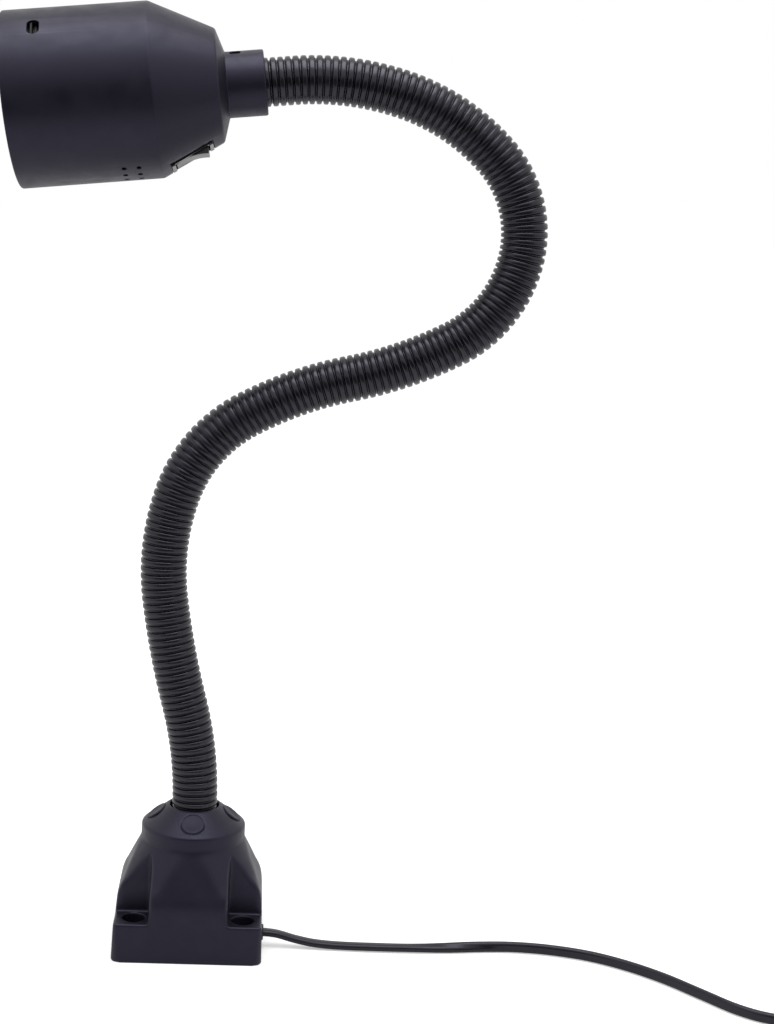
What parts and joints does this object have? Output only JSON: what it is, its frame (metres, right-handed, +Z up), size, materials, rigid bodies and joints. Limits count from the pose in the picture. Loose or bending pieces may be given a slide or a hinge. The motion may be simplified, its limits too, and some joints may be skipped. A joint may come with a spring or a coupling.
{
  "type": "machine work light",
  "caption": "Work light with a square screw-down base, a ribbed gooseneck, a round lamp head with a rocker switch and a coiled mains lead.",
  "frame": {"origin": "centre of the base's underside, on the surface that it is screwed to", "axes": "+Z up out of the base, -X the way the lamp head points, the gooseneck bends in the XZ plane"},
  "size_m": [0.4698, 0.1247, 0.4286],
  "materials": {
    "shell": "fine-textured moulded plastic",
    "hose": "satin corrugated plastic",
    "core": "bright wound steel",
    "steel": "zinc plated",
    "fitting": "turned",
    "circuit": "green circuit board",
    "driver": "wound and moulded parts",
    "block": "moulded",
    "lead": "soft satin",
    "trim": "moulded",
    "rocker": "satin gloss",
    "wires": "insulated",
    "contacts": "nickel plated",
    "light_board": "white lacquer",
    "light": "phosphor",
    "reflector": "vapour coated",
    "lens": "clear acrylic"
  },
  "bodies": {
    "base": {"base_cover": "shell", "base_plate": "steel", "plate_screws": "steel", "clamp_flange": "steel", "flange_screws": "steel", "screw_plugs": "shell", "base_fitting": "fitting", "fitting_nut": "steel", "driver_board": "circuit", "driver_parts": "driver", "terminal_block": "block", "cord_gland": "lead", "cord_clamp": "trim", "clamp_screws": "steel", "supply_wires": "wires", "power_cord": "lead", "cord_coil": "lead", "cord_tie": "trim", "plug_body": "lead", "plug_pins": "contacts", "lamp_lead": "lead", "hose_1": "hose"},
    "link_1": {"core_1": "core", "hose_2": "hose"},
    "link_2": {"core_2": "core", "hose_3": "hose"},
    "link_3": {"core_3": "core", "hose_4": "hose"},
    "link_4": {"core_4": "core", "hose_5": "hose"},
    "link_5": {"core_5": "core", "hose_6": "hose"},
    "link_6": {"core_6": "core", "hose_7": "hose"},
    "link_7": {"core_7": "core", "hose_8": "hose"},
    "link_8": {"core_8": "core", "hose_9": "hose"},
    "link_9": {"core_9": "core", "hose_10": "hose"},
    "link_10": {"core_10": "core", "hose_11": "hose"},
    "head": {"head_fitting": "fitting", "neck_nut": "steel", "neck_screw": "steel", "lamp_housing": "shell", "heat_sink": "fitting", "sink_screws": "steel", "led_board": "light_board", "led_chip": "light", "board_screws": "steel", "reflector": "reflector", "lens": "lens", "lens_ring": "trim", "switch_body": "trim", "switch_terminals": "contacts", "head_wires": "wires"},
    "rocker": {"switch_rocker": "rocker"}
  },
  "joints": [
    {"name": "bend_1", "type": "hinge", "parent": "base", "child": "link_1", "pos_m": [0, 0, 0.06488], "axis": [1, 0, 0], "range_deg": [-30, 30], "deforming": ["hose_1", "lamp_lead"]},
    {"name": "bend_2", "type": "hinge", "parent": "link_1", "child": "link_2", "pos_m": [-0.00691, 0, 0.11403], "axis": [0, -1, 0], "range_deg": [-30, 30], "deforming": ["hose_2"]},
    {"name": "bend_3", "type": "hinge", "parent": "link_2", "child": "link_3", "pos_m": [-0.01759, 0, 0.16264], "axis": [0, -1, 0], "range_deg": [-30, 30], "deforming": ["hose_3"]},
    {"name": "bend_4", "type": "hinge", "parent": "link_3", "child": "link_4", "pos_m": [-0.01411, 0, 0.2119], "axis": [-0.9568, 0, 0.2907], "range_deg": [-30, 30], "deforming": ["hose_4"]},
    {"name": "bend_5", "type": "hinge", "parent": "link_4", "child": "link_5", "pos_m": [0.01593, 0, 0.2502], "axis": [0, -1, 0], "range_deg": [-20, 30], "deforming": ["hose_5"]},
    {"name": "bend_6", "type": "hinge", "parent": "link_5", "child": "link_6", "pos_m": [0.06182, 0, 0.26907], "axis": [0, -1, 0], "range_deg": [-25, 30], "deforming": ["hose_6"]},
    {"name": "bend_7", "type": "hinge", "parent": "link_6", "child": "link_7", "pos_m": [0.10795, 0, 0.28743], "axis": [-0.4909, 0, 0.8712], "range_deg": [-30, 30], "deforming": ["hose_7"]},
    {"name": "bend_8", "type": "hinge", "parent": "link_7", "child": "link_8", "pos_m": [0.13595, 0, 0.32669], "axis": [0, -1, 0], "range_deg": [-30, 0], "deforming": ["hose_8"]},
    {"name": "bend_9", "type": "hinge", "parent": "link_8", "child": "link_9", "pos_m": [0.12141, 0, 0.37225], "axis": [0, -1, 0], "range_deg": [-30, 10], "deforming": ["hose_9"]},
    {"name": "bend_10", "type": "hinge", "parent": "link_9", "child": "link_10", "pos_m": [0.07847, 0, 0.39635], "axis": [0.2487, 0, 0.9686], "range_deg": [-30, 30], "deforming": ["hose_10"]},
    {"name": "bend_11", "type": "hinge", "parent": "link_10", "child": "head", "pos_m": [0.02907, 0, 0.3992], "axis": [0, -1, 0], "range_deg": [-30, 30], "deforming": ["hose_11"]},
    {"name": "switch_rock", "type": "hinge", "parent": "head", "child": "rocker", "pos_m": [-0.01437, -0.00395, 0.3649], "axis": [0.0189, 0.9903, -0.1379], "range_deg": [-20, 0]}
  ]
}
